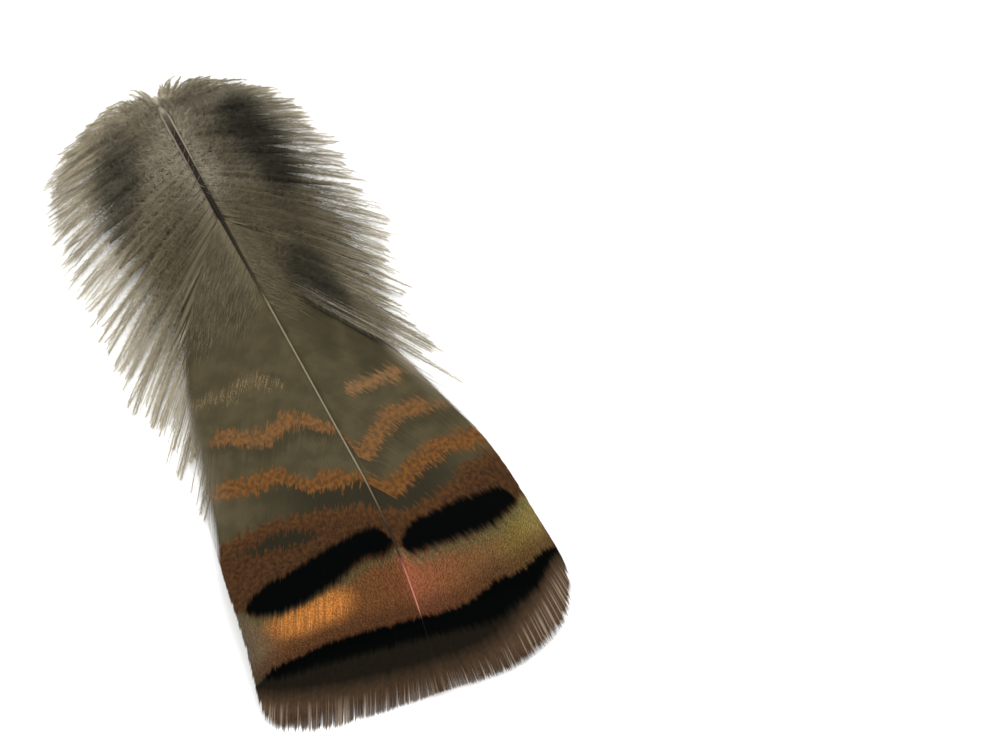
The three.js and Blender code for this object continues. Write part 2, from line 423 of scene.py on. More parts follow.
class Graph:
    """Builds a material's nodes."""

    def __init__(self, name: str) -> None:
        """Starts a material with one Principled shader.

        Args:
            name: Name of the material.
        """
        self.material = bpy.data.materials.new(name)
        self.material.use_nodes = True
        self.tree = self.material.node_tree
        self.shader = self.tree.nodes["Principled BSDF"]

    def put(self, socket: Socket, value: object) -> None:
        """Feeds an input.

        Args:
            socket: Input to feed.
            value: Socket to link, or plain value to set.
        """
        if isinstance(value, Socket):
            self.tree.links.new(value, socket)
        else:
            socket.default_value = value

    def math(self, operation: str, a: Number, b: Number = 0.0, clamp: bool = False) -> Socket:
        """Works out a number from one or two others.

        Args:
            operation: Blender's name of the operation.
            a: First number.
            b: Second number.
            clamp: Keep the result between 0 and 1.

        Returns:
            The result's socket.
        """
        node = self.tree.nodes.new("ShaderNodeMath")
        node.operation = operation
        node.use_clamp = clamp
        self.put(node.inputs[0], a)
        self.put(node.inputs[1], b)
        return node.outputs[0]

    def times(self, a: Number, b: Number, clamp: bool = False) -> Socket:
        """Multiplies two numbers."""
        return self.math("MULTIPLY", a, b, clamp)

    def plus(self, a: Number, b: Number, clamp: bool = False) -> Socket:
        """Adds two numbers."""
        return self.math("ADD", a, b, clamp)

    def minus(self, a: Number, b: Number) -> Socket:
        """Takes the second number from the first."""
        return self.math("SUBTRACT", a, b)

    def rest(self, share: Number) -> Socket:
        """Finds what a share leaves of 1."""
        return self.minus(1.0, share)

    def level(self, value: Number, gain: float, base: float) -> Socket:
        """Multiplies a number by a gain and adds a base to it."""
        return self.plus(self.times(value, gain), base)

    def part(self, value: Socket, share: float) -> Socket:
        """Takes a share of a number, with no node added for the whole of it."""
        return value if share == 1.0 else self.times(value, share)

    def beside(self, u: Socket, across: float = 0.0) -> Socket:
        """Finds the distance from a line along the feather, as a share of the plan's width."""
        return self.math("ABSOLUTE", self.minus(u, plan_across(across)))

    def ease(self, value: Number, low: float, high: float) -> Socket:
        """Eases a number from 0 at low to 1 at high.

        Args:
            value: Number to ease.
            low: Number that gives 0.
            high: Number that gives 1.

        Returns:
            The eased number's socket.
        """
        node = self.tree.nodes.new("ShaderNodeMapRange")
        node.interpolation_type = "SMOOTHSTEP"
        self.put(node.inputs["Value"], value)
        node.inputs["From Min"].default_value = low
        node.inputs["From Max"].default_value = high
        return node.outputs[0]

    def mix(self, share: Number, low: Number | Shade, high: Number | Shade) -> Socket:
        """Mixes two colours.

        Args:
            share: Share of the second colour.
            low: First colour.
            high: Second colour.

        Returns:
            The mixed colour's socket.
        """
        node = self.tree.nodes.new("ShaderNodeMix")
        node.data_type = "RGBA"
        self.put(node.inputs["Factor"], share)
        self.put(node.inputs[6], low)
        self.put(node.inputs[7], high)
        return node.outputs[2]

    def scale(self, colour: Socket, amount: Number) -> Socket:
        """Multiplies a colour by a number.

        Args:
            colour: Colour to scale.
            amount: Number to multiply by.

        Returns:
            The scaled colour's socket.
        """
        node = self.tree.nodes.new("ShaderNodeVectorMath")
        node.operation = "SCALE"
        self.put(node.inputs[0], colour)
        self.put(node.inputs["Scale"], amount)
        return node.outputs[0]

    def map(self, name: str) -> tuple[Socket, Socket, Socket]:
        """Reads one of the piece's own maps.

        Args:
            name: Name of the map.

        Returns:
            The map's vector, and its first and second numbers.
        """
        node = self.tree.nodes.new("ShaderNodeUVMap")
        node.uv_map = name
        split = self.tree.nodes.new("ShaderNodeSeparateXYZ")
        self.put(split.inputs[0], node.outputs[0])
        return node.outputs[0], split.outputs[0], split.outputs[1]

    def place(self) -> Socket:
        """Reads the object's own coordinates."""
        return self.tree.nodes.new("ShaderNodeTexCoord").outputs["Object"]

    def vector(self, x: Number, y: Number) -> Socket:
        """Joins two numbers into a vector.

        Args:
            x: First number.
            y: Second number.

        Returns:
            The vector's socket.
        """
        node = self.tree.nodes.new("ShaderNodeCombineXYZ")
        self.put(node.inputs[0], x)
        self.put(node.inputs[1], y)
        return node.outputs[0]

    def noise(self, vector: Socket, scale: float, detail: float = 2.0) -> Socket:
        """Reads soft noise of 0 to 1.

        Args:
            vector: Place to read it at.
            scale: Scale of the noise.
            detail: Detail of the noise.

        Returns:
            The noise's socket.
        """
        node = self.tree.nodes.new("ShaderNodeTexNoise")
        self.put(node.inputs["Vector"], vector)
        node.inputs["Scale"].default_value = scale
        node.inputs["Detail"].default_value = detail
        return node.outputs[0]

    def edge(self, across: Socket, points: Points) -> Socket:
        """Draws one edge of a bar as a smooth curve across the feather.

        Args:
            across: Share across the bars' curves.
            points: Across and along of the edge, in millimetres.

        Returns:
            Share along the plan where the edge lies.
        """
        node = self.tree.nodes.new("ShaderNodeFloatCurve")
        knots = node.mapping.curves[0].points
        for _ in points[2:]:
            knots.new(0.5, 0.5)
        for knot, (place, height) in zip(knots, points):
            knot.location = curve_share(place), plan_along(height)
        node.mapping.update()
        self.put(node.inputs["Value"], across)
        return node.outputs[0]

    def ramp(self, value: Number, stops: Stops) -> Socket:
        """Reads a colour between stops.

        Args:
            value: Place on the ramp.
            stops: Places and screen colours, in order.

        Returns:
            The colour's socket.
        """
        node = self.tree.nodes.new("ShaderNodeValToRGB")
        elements = node.color_ramp.elements
        for _ in stops[2:]:
            elements.new(1.0)
        for element, (place, colour) in zip(elements, stops):
            element.position = place
            element.color = linear(colour)
        self.put(node.inputs[0], value)
        return node.outputs[0]

    def finish(self, colour: Socket, roughness: Number, specular: float) -> bpy.types.Material:
        """Feeds the shader.

        Args:
            colour: Base colour.
            roughness: Roughness of the surface.
            specular: Strength of its mirror light.

        Returns:
            The material.
        """
        self.put(self.shader.inputs["Base Color"], colour)
        self.put(self.shader.inputs["Roughness"], roughness)
        self.shader.inputs["Specular IOR Level"].default_value = specular
        return self.material


@dataclass(frozen=True)
class Spot:
    """A soft oval spot in the feather's plane: its middle, half length, half width and depth."""

    along: float
    across: float
    length: float
    width: float
    depth: float = 1.0

    def mask(self, graph: Graph, u: Socket, v: Socket) -> Socket:
        """Masks the spot.

        Args:
            graph: Nodes to add to.
            u: Share across the plan.
            v: Share along the plan.

        Returns:
            The depth at the middle and 0 from the rim outwards.
        """
        x = graph.times(graph.minus(u, plan_across(self.across)), PLAN_WIDTH / self.width)
        y = graph.times(graph.minus(v, plan_along(self.along)), PLAN_LENGTH / self.length)
        square = graph.plus(graph.times(x, x), graph.times(y, y))
        return graph.part(graph.ease(square, 1.0, 0.0), self.depth)


@dataclass(frozen=True)
class Bar:
    """A bar across the feather between two edges, which fade over widths and may be grown past."""

    top: Points
    bottom: Points
    fades: Range = (0.8, 0.8)
    grow: float = 0.0
    strength: float = 1.0

    def mask(self, graph: Graph, across: Socket, along: Socket) -> Socket:
        """Masks the bar.

        Args:
            graph: Nodes to add to.
            across: Share across the bars' curves.
            along: Share along the plan.

        Returns:
            The strength inside the bar and 0 outside.
        """
        past = graph.minus(along, graph.edge(across, self.top))
        left = graph.minus(graph.edge(across, self.bottom), along)
        sides = []
        for depth, fade in zip((past, left), self.fades):
            low, high = ((half - self.grow) / PLAN_LENGTH for half in (-fade / 2, fade / 2))
            sides.append(graph.ease(depth, low, high))
        return graph.part(graph.times(*sides), self.strength)


RUST_TOP: Points = (
    (-24, 77), (-17, 77.3), (-11.6, 78.8), (-6, 80.8), (-1, 83), (1.5, 84.6), (4, 85.2), (7, 84.8), (10, 84),
    (13, 82.3), (16, 81.7), (24, 81.4),
)
RUST_BOTTOM: Points = ((-24, 91), (24, 91))
LENS_TOP: Points = ((-24, 81.4), (-19.5, 80.6), (-15, 80.3), (-11, 81.6), (-8, 84), (24, 84))
LENS_BOTTOM: Points = ((-24, 81.2), (-19.5, 80.9), (-15, 82.6), (-11, 83.6), (-8, 84), (24, 84))
SECOND_TOP: Points = (
    (-24, 71.5), (-20, 70), (-17.7, 69), (-14.4, 70), (-9.5, 71.7), (-7.5, 74.4), (-3, 76), (0, 78.4),
    (2.8, 80.3), (5.6, 79.4), (9.2, 77.9), (12.7, 77.5), (17.6, 77.9), (20, 79), (24, 79),
)
SECOND_BOTTOM: Points = (
    (-24, 68.5), (-20, 69.4), (-17.7, 71), (-14.4, 72.2), (-9.5, 74), (-7.5, 76.5), (-3, 78.4), (0, 79.4),
    (2.8, 82.7), (5.6, 81.8), (9.2, 80.3), (12.7, 79.8), (17.6, 79.9), (20, 79.2), (24, 79),
)
THIRD_TOP: Points = (
    (-24, 64), (-17, 62.9), (-14.5, 61.6), (-10.6, 64), (-8.3, 64.6), (-6, 64), (-3.8, 64.9), (-1.1, 68),
    (0, 70), (1.1, 73.6), (3.5, 72.7), (6.2, 70.7), (9, 70), (11.4, 70.2), (15, 72.2), (24, 73),
)
THIRD_BOTTOM: Points = (
    (-24, 61), (-17, 62.1), (-14.5, 63.4), (-10.6, 66.3), (-8.3, 66.9), (-6, 66.3), (-3.8, 67), (-1.1, 69.8),
    (0, 70.2), (1.1, 76), (3.5, 75.3), (6.2, 73.2), (9, 72.4), (11.4, 72.3), (15, 72.4), (24, 73),
)
FOURTH_TOP: Points = (
    (-24, 56), (-14, 55.3), (-11, 56.4), (-9, 55.6), (-5, 57), (-2, 61.5), (3, 66.5), (4, 64.3), (6.7, 63.8),
    (9, 64), (11.1, 63.7), (12.5, 64.8), (24, 66),
)
FOURTH_BOTTOM: Points = (
    (-24, 56), (-14, 56.3), (-11, 58.2), (-9, 57.4), (-5, 59), (-2, 59.5), (3, 64.5), (4, 65.6), (6.7, 65.4),
    (9, 65.4), (11.1, 65.8), (12.5, 65), (24, 66),
)
UPPER_BLACK_TOP: Points = (
    (-24, 90), (-21.6, 89.8), (-20.9, 88.6), (-18.6, 87.4), (-14.6, 86.9), (-10.5, 86.3), (-6.4, 85.8),
    (-3.3, 85.6), (-1.2, 86.3), (0.5, 89.4), (1.6, 88.3), (3.4, 87.2), (6.7, 86.9), (10.9, 86.5),
    (14.8, 86.7), (17.2, 87.4), (18, 89.2), (24, 89.2),
)
UPPER_BLACK_BOTTOM: Points = (
    (-24, 90), (-21.6, 90), (-20.9, 90.9), (-18.6, 92.3), (-15.7, 92.6), (-12.6, 92.3), (-8.4, 91.2),
    (-4.9, 89.8), (-1.5, 90.2), (0.5, 89.6), (1.4, 91), (4, 91.4), (7.8, 91.6), (11.8, 91.5),
    (15.8, 90.5), (17.2, 90), (18, 89.2), (24, 89),
)
COPPER_BOTTOM: Points = ((-24, 101), (24, 99.5))
LOWER_BLACK_TOP: Points = (
    (-24, 101.6), (-22.2, 101), (-20.4, 100), (-17.1, 99.5), (-11.7, 99), (-4.8, 99.3), (0.3, 99.5),
    (4.6, 99.8), (7.8, 99.3), (11, 98.2), (13.8, 98), (17, 97), (20, 96.2), (24, 95.6),
)
LOWER_BLACK_BOTTOM: Points = (
    (-24, 101.2), (-22.3, 101.3), (-20.3, 101.7), (-15.9, 101.8), (-9.1, 102.1), (0, 102.4), (6.7, 102.9),
    (9.5, 102.9), (12.4, 101.9), (14.5, 101.2), (16.8, 99.9), (19, 98.2), (20.3, 97.2), (24, 96),
)
FRINGE_START: Points = (
    (-24, 101.6), (-20, 103.2), (-12, 104.6), (0, 105), (8, 104.2), (14, 101), (20, 96.2), (24, 93.8),
)


@dataclass(frozen=True)
class VaneMaps:
    """Numbers at each place of a vane that its colours are worked out from."""

    u: Socket
    v: Socket
    across: Socket
    chance: Socket
    share: Socket
    even: Socket
    streak: Socket
    speck: Socket
    mottle: Socket
    ragged: Socket


@dataclass(frozen=True)
class VaneFinish:
    """Olive web with rufous and black bars, a copper band with painted sparkle and a painted gold highlight,
    and a brown fringe, with painted shadows under the down's edge.

    A grain is a noise's scale and detail, an ease is the range over which a number rises from 0 to 1,
    and a level is a gain and a base. Reaches and ends are places or widths in millimetres.
    """

    streak_spread: float = 90.0
    streak_grain: Range = (9.0, 3.0)
    streak_ease: Range = (0.35, 0.65)
    speck_grain: Range = (340.0, 2.0)
    mottle_grain: Range = (95.0, 3.0)
    mottle_ease: Range = (0.36, 0.64)
    wave_grain: Range = (62.0, 3.0)
    wobble: float = 2.2
    flame: float = 1.4

    ground: Colour = (75, 68, 49)
    ground_shade: Colour = (66, 60, 43)
    ground_dark: Colour = (44, 41, 30)
    ground_grain: Range = (20.0, 2.0)
    ground_ease: Range = (0.35, 0.65)
    downy: Colour = (106, 98, 78)
    downy_shade: Colour = (70, 63, 48)
    downy_ends: Range = (46.0, 29.0)
    # Painted shadows on the vane under the edge of the right down.
    shadows: tuple[Spot, ...] = (Spot(53.0, 5.0, 7.0, 3.0, 0.5), Spot(60.0, 9.5, 7.0, 3.6, 0.5))
    dusk: Bar = Bar(SECOND_BOTTOM, RUST_TOP, (0.6, 1.0), 0.3)
    dusk_reach: Range = (19.0, 6.0)

    rufous: Colour = (112, 73, 36)
    rufous_shade: Colour = (80, 54, 30)
    fleck: Colour = (142, 120, 90)
    second_bar: Bar = Bar(SECOND_TOP, SECOND_BOTTOM, grow=0.3)
    third_bar: Bar = Bar(THIRD_TOP, THIRD_BOTTOM, grow=0.3)
    third_shadow: Bar = Bar(THIRD_BOTTOM, shifted(THIRD_BOTTOM, 2.2), (0.6, 3.0), strength=0.45)
    third_tan: float = 0.12
    fourth_bar: Bar = Bar(FOURTH_TOP, FOURTH_BOTTOM, (1.2, 1.2), 0.2)
    fourth_tan: float = 0.3
    whole_ease: Range = (0.34, 0.5)
    whole_level: Range = (0.25, 0.72)
    sparse_ease: Range = (0.46, 0.6)
    sparse_share: float = 0.55
    left_reach: float = 2.0

    rust: Colour = (73, 48, 28)
    rust_shade: Colour = (54, 37, 23)
    rust_bar: Bar = Bar(RUST_TOP, RUST_BOTTOM)
    rust_rim: Bar = Bar(RUST_TOP, shifted(RUST_TOP, 1.4), (0.8, 1.6), strength=0.2)
    dot: Colour = (30, 26, 19)
    dot_field: Bar = Bar(shifted(RUST_TOP, 2.0), RUST_BOTTOM, strength=0.75)
    dot_grain: Range = (120.0, 1.0)
    dot_ease: Range = (0.6, 0.68)
    lens: Colour = (38, 35, 25)
    lens_bar: Bar = Bar(LENS_TOP, LENS_BOTTOM)

    black: Colour = (3, 4, 4)
    black_bars: tuple[Bar, ...] = (
        Bar(UPPER_BLACK_TOP, UPPER_BLACK_BOTTOM, (1.2, 2.0)),
        Bar(LOWER_BLACK_TOP, LOWER_BLACK_BOTTOM, (1.0, 1.5)),
    )
    black_ragged: float = 0.3

    copper: Stops = (
        (-23.5, (90, 80, 66)), (-21, (108, 88, 64)), (-18.5, (114, 78, 46)), (-10, (112, 73, 42)),
        (-5, (108, 71, 41)), (-1.5, (112, 71, 43)), (0.5, (134, 80, 55)), (2.5, (128, 79, 52)),
        (4.5, (121, 77, 48)), (8, (110, 75, 45)), (12, (106, 80, 48)), (16, (107, 90, 46)),
        (19, (120, 105, 60)), (21, (96, 76, 44)),
    )
    copper_bar: Bar = Bar(UPPER_BLACK_BOTTOM, COPPER_BOTTOM, (1.4, 1.0))
    copper_metal: float = 0.45
    sparkle_ease: Range = (0.34, 0.68)
    sparkle_level: Range = (0.8, 0.5)
    cloud_level: Range = (0.7, 0.65)
    moss: Colour = (78, 78, 52)
    moss_edge: Bar = Bar(UPPER_BLACK_BOTTOM, shifted(UPPER_BLACK_BOTTOM, 1.3), (0.5, 2.2), strength=0.75)
    # Painted highlight: the gold spot stands for light mirrored by the copper band.
    gold: Colour = (200, 128, 62)
    gold_highlight_spot: Spot = Spot(94.0, -13.5, 3.8, 7.5)
    gold_highlight_level: Range = (0.7, 0.45)
    blush: Colour = (128, 86, 60)
    blush_reach: Range = (3.8, 0.8)
    blush_share: float = 0.4
    blush_dim: float = 0.48

    fringe_dark: Colour = (26, 22, 16)
    fringe: Colour = (74, 57, 42)
    fringe_fade: float = 3.2
    fringe_level: Range = (0.8, 0.6)
    fringe_edge: Range = (0.1, 0.5)
    fringe_pale: Colour = (166, 149, 131)
    pale_reach: Range = (1.8, 5.0)
    pale_ease: Range = (0.58, 0.88)
    pale_share: float = 0.5

    margin: Colour = (168, 158, 140)
    margin_ends: Range = (76.0, 58.0)
    margin_ease: Range = (0.58, 0.98)
    margin_chance: Range = (-0.3, 0.5)

    tone_level: Range = (0.05, 0.97)
    roughness: float = 0.62
    copper_gloss: float = 0.2
    specular: float = 0.01

    def maps(self, graph: Graph) -> VaneMaps:
        """Reads the piece's maps and the noises that mottle it.

        Args:
            graph: Nodes to add to.

        Returns:
            The sockets to work from.
        """
        _, u, v = graph.map("plan")
        _, chance, share = graph.map("strand")
        width = PLAN_WIDTH / (2 * CURVE_EDGE)
        across = graph.plus(graph.times(graph.minus(u, 0.5), width), 0.5, True)
        even = graph.vector(u, graph.times(v, PLAN_LENGTH / PLAN_WIDTH))
        strand = graph.vector(graph.times(chance, self.streak_spread), share)
        streak = graph.noise(strand, *self.streak_grain)
        speck = graph.noise(even, *self.speck_grain)
        mottle = graph.noise(even, *self.mottle_grain)
        wave = graph.minus(graph.noise(even, *self.wave_grain), 0.5)
        wave = graph.times(wave, self.wobble / PLAN_LENGTH)
        flame = graph.times(graph.minus(chance, 0.5), self.flame / PLAN_LENGTH)
        ragged = graph.plus(graph.plus(v, wave), flame)
        return VaneMaps(u, v, across, chance, share, even, streak, speck, mottle, ragged)

    def ground_web(self, graph: Graph, maps: VaneMaps) -> Socket:
        """Colours the olive ground, soft where the down ends and dusky beside its bars, with painted shadows
        where the right down's edge lies over it.

        Args:
            graph: Nodes to add to.
            maps: Sockets to work from.

        Returns:
            The colour's socket.
        """
        patch = graph.ease(graph.noise(maps.even, *self.ground_grain), *self.ground_ease)
        colour = graph.mix(patch, linear(self.ground_shade), linear(self.ground))
        soft = graph.ease(maps.streak, *self.streak_ease)
        soft = graph.mix(soft, linear(self.downy_shade), linear(self.downy))
        young = graph.ease(maps.v, *(plan_along(end) for end in self.downy_ends))
        colour = graph.mix(young, colour, soft)
        inward = graph.ease(graph.beside(maps.u), *(reach / PLAN_WIDTH for reach in self.dusk_reach))
        dusk = graph.times(self.dusk.mask(graph, maps.across, maps.ragged), inward)
        shades = [self.third_shadow.mask(graph, maps.across, maps.ragged), dusk]
        # The spots are painted shadows under the right down's edge.
        shades += [spot.mask(graph, maps.u, maps.v) for spot in self.shadows]
        for shade in shades:
            colour = graph.mix(shade, colour, linear(self.ground_dark))
        return colour

    def web(self, graph: Graph, maps: VaneMaps) -> Socket:
        """Colours the ground, its rust field and its rufous bars.

        Args:
            graph: Nodes to add to.
            maps: Sockets to work from.

        Returns:
            The colour's socket.
        """
        place = graph, maps.across, maps.ragged
        grain = graph.ease(maps.mottle, *self.mottle_ease)
        rust = graph.mix(grain, linear(self.rust_shade), linear(self.rust))
        rufous = graph.mix(grain, linear(self.rufous_shade), linear(self.rufous))
        colour = graph.mix(self.rust_bar.mask(*place), self.ground_web(graph, maps), rust)
        colour = graph.mix(self.rust_rim.mask(*place), colour, rufous)
        dots = graph.ease(graph.noise(maps.even, *self.dot_grain), *self.dot_ease)
        colour = graph.mix(graph.times(dots, self.dot_field.mask(*place)), colour, linear(self.dot))
        colour = graph.mix(self.lens_bar.mask(*place), colour, linear(self.lens))
        whole = graph.level(graph.ease(maps.mottle, *self.whole_ease), *self.whole_level)
        tan = graph.mix(self.third_tan, rufous, linear(self.fleck))
        for bar, shade in ((self.second_bar, rufous), (self.third_bar, tan)):
            colour = graph.mix(graph.times(bar.mask(*place), whole), colour, shade)
        left = graph.rest(graph.ease(maps.u, plan_across(-self.left_reach), plan_across(0.0)))
        tan = graph.mix(self.fourth_tan, rufous, linear(self.fleck))
        fleck = graph.mix(left, tan, linear(self.fleck))
        fine = graph.ease(graph.times(graph.plus(maps.streak, maps.speck), 0.5), *self.sparse_ease)
        sparse = graph.mix(left, whole, graph.times(fine, self.sparse_share))
        return graph.mix(graph.times(self.fourth_bar.mask(*place), sparse), colour, fleck)

    def copper_band(self, graph: Graph, maps: VaneMaps) -> tuple[Socket, Socket]:
        """Colours the glossy copper band: speckled barbule grain with painted sparkle, and a painted gold
        highlight.

        Args:
            graph: Nodes to add to.
            maps: Sockets to work from.

        Returns:
            The band's colour and its mask.
        """
        glow = graph.ramp(maps.across, tuple((curve_share(x), shade) for x, shade in self.copper))
        # Speckled barbule grain with painted sparkle.
        sparkle = graph.level(graph.ease(maps.speck, *self.sparkle_ease), *self.sparkle_level)
        cloud = graph.level(maps.mottle, *self.cloud_level)
        glow = graph.mix(self.moss_edge.mask(graph, maps.across, maps.ragged), glow, linear(self.moss))
        # Painted gold highlight, streaked along the barbs.
        lit = graph.level(graph.ease(maps.streak, *self.streak_ease), *self.gold_highlight_level)
        gold = graph.times(self.gold_highlight_spot.mask(graph, maps.u, maps.v), lit, True)
        glow = graph.mix(gold, glow, linear(self.gold))
        rise = graph.minus(graph.edge(maps.across, LOWER_BLACK_TOP), maps.v)
        near = graph.ease(rise, *(reach / PLAN_LENGTH for reach in self.blush_reach))
        glow = graph.mix(graph.times(near, self.blush_share), glow, linear(self.blush))
        dim = graph.rest(graph.times(near, self.blush_dim))
        glow = graph.scale(glow, graph.times(graph.times(sparkle, cloud), dim))
        return glow, self.copper_bar.mask(graph, maps.across, maps.v)

    def fringe_band(self, graph: Graph, maps: VaneMaps, colour: Socket) -> Socket:
        """Colours the brown fringe past the lower black bar.

        Args:
            graph: Nodes to add to.
            maps: Sockets to work from.
            colour: Colour of the web before it.

        Returns:
            The colour's socket.
        """
        beyond = graph.minus(maps.v, graph.edge(maps.across, FRINGE_START))
        fade = graph.times(beyond, PLAN_LENGTH / self.fringe_fade)
        tail = graph.ramp(fade, ((0.0, self.fringe_dark), (1.0, self.fringe)))
        tail = graph.scale(tail, graph.level(maps.mottle, *self.fringe_level))
        ends = graph.ease(beyond, *(reach / PLAN_LENGTH for reach in self.pale_reach))
        hairs = graph.times(ends, graph.ease(maps.chance, *self.pale_ease))
        tail = graph.mix(graph.times(hairs, self.pale_share), tail, linear(self.fringe_pale))
        past = graph.minus(maps.v, graph.edge(maps.across, LOWER_BLACK_TOP))
        edge = graph.ease(past, *(reach / PLAN_LENGTH for reach in self.fringe_edge))
        return graph.mix(edge, colour, tail)

    def material(self) -> bpy.types.Material:
        """Builds the vane's material.

        Returns:
            The material.
        """
        graph = Graph("barred_vane")
        maps = self.maps(graph)
        glow, copper = self.copper_band(graph, maps)
        colour = graph.mix(copper, self.web(graph, maps), glow)
        colour = self.fringe_band(graph, maps, colour)
        calm = graph.plus(maps.v, graph.times(graph.minus(maps.ragged, maps.v), self.black_ragged))
        for bar in self.black_bars:
            colour = graph.mix(bar.mask(graph, maps.across, calm), colour, linear(self.black))
        early = graph.ease(maps.v, *(plan_along(end) for end in self.margin_ends))
        rim = graph.times(early, graph.ease(maps.share, *self.margin_ease))
        rim = graph.times(rim, graph.ease(maps.chance, *self.margin_chance))
        colour = graph.mix(rim, colour, linear(self.margin))
        colour = graph.scale(colour, graph.level(maps.chance, *self.tone_level))
        graph.put(graph.shader.inputs["Metallic"], graph.times(copper, self.copper_metal))
        roughness = graph.minus(self.roughness, graph.times(copper, self.copper_gloss))
        return graph.finish(colour, roughness, self.specular)


@dataclass(frozen=True)
class DownFinish:
    """Soft grey-brown fluff, paler beside the shaft where its pale barb bases also carry a painted sheen,
    with painted shade in its hollows and on its smooth core ribs, and a painted shadow along the right down's
    edge over the vane.

    Eases, levels, reaches and ends are meant as in the finish of the vane.
    """

    dark: Colour = (138, 129, 107)
    middle: Colour = (161, 151, 128)
    light: Colour = (179, 170, 147)
    patch_grain: Range = (16.0, 3.0)
    patch_share: float = 0.85
    chance_share: float = 0.15
    fluff_stops: tuple[float, float, float] = (0.3, 0.5, 0.7)
    olive: Colour = (120, 111, 88)
    olive_ends: Range = (15.0, 30.0)
    olive_ease: Range = (0.45, 0.85)
    right_shade: float = 0.4
    right_reach: Range = (1.0, 5.0)
    right_rim: Range = (0.7, 1.0)
    right_start: Range = (0.45, 0.2)
    tone_ease: Range = (0.2, 0.8)
    tone_level: Range = (0.4, 0.8)
    # Painted shade: the dark of the hollows among the tufts, also given to the dark ribs that paint a shadow
    # at the right down's edge.
    hollow: Colour = (54, 52, 44)
    hollows: tuple[Spot, ...] = (
        Spot(9.5, -8.8, 6.5, 4.6, 0.55), Spot(14.3, -11.1, 7.0, 5.0, 0.72), Spot(20.0, -14.0, 7.0, 4.6, 0.62),
        Spot(11.4, 9.9, 6.5, 5.0, 0.92), Spot(17.7, 11.0, 6.5, 5.5, 0.92), Spot(23.6, 11.4, 5.5, 4.5, 0.9),
        Spot(43.0, 7.4, 7.5, 4.2, 0.75), Spot(49.0, 8.8, 6.0, 3.0, 0.75),
    )
    wisp: Colour = (190, 181, 162)
    wisp_strength: float = 0.6
    wisp_ease: Range = (0.2, 0.5)
    # Pale barb bases beside the shaft, with a painted sheen where they lie flat and smooth.
    pale: Colour = (188, 179, 160)
    pale_middle: float = -0.5
    pale_reach: Range = (1.0, 3.4)
    pale_strength: float = 0.3
    # Painted shade: the smooth core ribs are darkened to match the shade that fine hairs cast among
    # themselves.
    core_painted_shade: float = 0.45
    roughness: float = 0.9
    specular: float = 0.05

    def material(self) -> bpy.types.Material:
        """Builds the down's material.

        Returns:
            The material.
        """
        graph = Graph("soft_down")
        plan, u, v = graph.map("plan")
        _, chance, share = graph.map("strand")
        patch = graph.times(graph.noise(plan, *self.patch_grain), self.patch_share)
        patch = graph.plus(patch, graph.times(chance, self.chance_share))
        colour = graph.ramp(patch, tuple(zip(self.fluff_stops, (self.dark, self.middle, self.light))))
        web = graph.ease(v, *(plan_along(end) for end in self.olive_ends))
        inner = graph.rest(graph.ease(share, *self.olive_ease))
        colour = graph.mix(graph.times(web, inner), colour, linear(self.olive))
        colour = graph.scale(colour, self.tone(graph, u, share, web))
        # Painted shade in the hollows among the tufts.
        for spot in self.hollows:
            colour = graph.mix(spot.mask(graph, u, v), colour, linear(self.hollow))
        hair = graph.times(graph.ease(chance, *PALE_EASE), self.wisp_strength)
        hair = graph.times(hair, graph.ease(share, *self.wisp_ease))
        colour = graph.mix(hair, colour, linear(self.wisp))
        # Pale barb bases beside the shaft, partly a painted sheen.
        beside = graph.beside(u, self.pale_middle)
        near = graph.rest(graph.ease(beside, *(reach / PLAN_WIDTH for reach in self.pale_reach)))
        near = graph.times(graph.times(near, graph.rest(web)), self.pale_strength)
        colour = graph.mix(near, colour, linear(self.pale))
        # Painted shade on the core ribs.
        core = graph.times(graph.ease(chance, *CORE_EASE), self.core_painted_shade)
        colour = graph.scale(colour, graph.rest(core))
        # Painted shadow: the dark last ribs at the right down's edge take the colour of the hollows.
        colour = graph.mix(graph.ease(chance, *SHADOW_EASE), colour, linear(self.hollow))
        return graph.finish(colour, self.roughness, self.specular)

    def tone(self, graph: Graph, u: Socket, share: Socket, web: Socket) -> Socket:
        """Works out how bright the fluff is: darker at its roots and on the right.

        Args:
            graph: Nodes to add to.
            u: Share across the plan.
            share: Share along the strand.
            web: 1 where the down lies beside the vane.

        Returns:
            The brightness's socket.
        """
        right = graph.ease(u, *(plan_across(reach) for reach in self.right_reach))
        shade = graph.times(right, graph.rest(graph.ease(share, *self.right_rim)))
        start = graph.times(web, graph.ease(share, *self.right_start))
        shade = graph.times(graph.times(shade, graph.rest(start)), self.right_shade)
        lit = graph.level(graph.ease(share, *self.tone_ease), *self.tone_level)
        return graph.times(graph.rest(shade), lit)


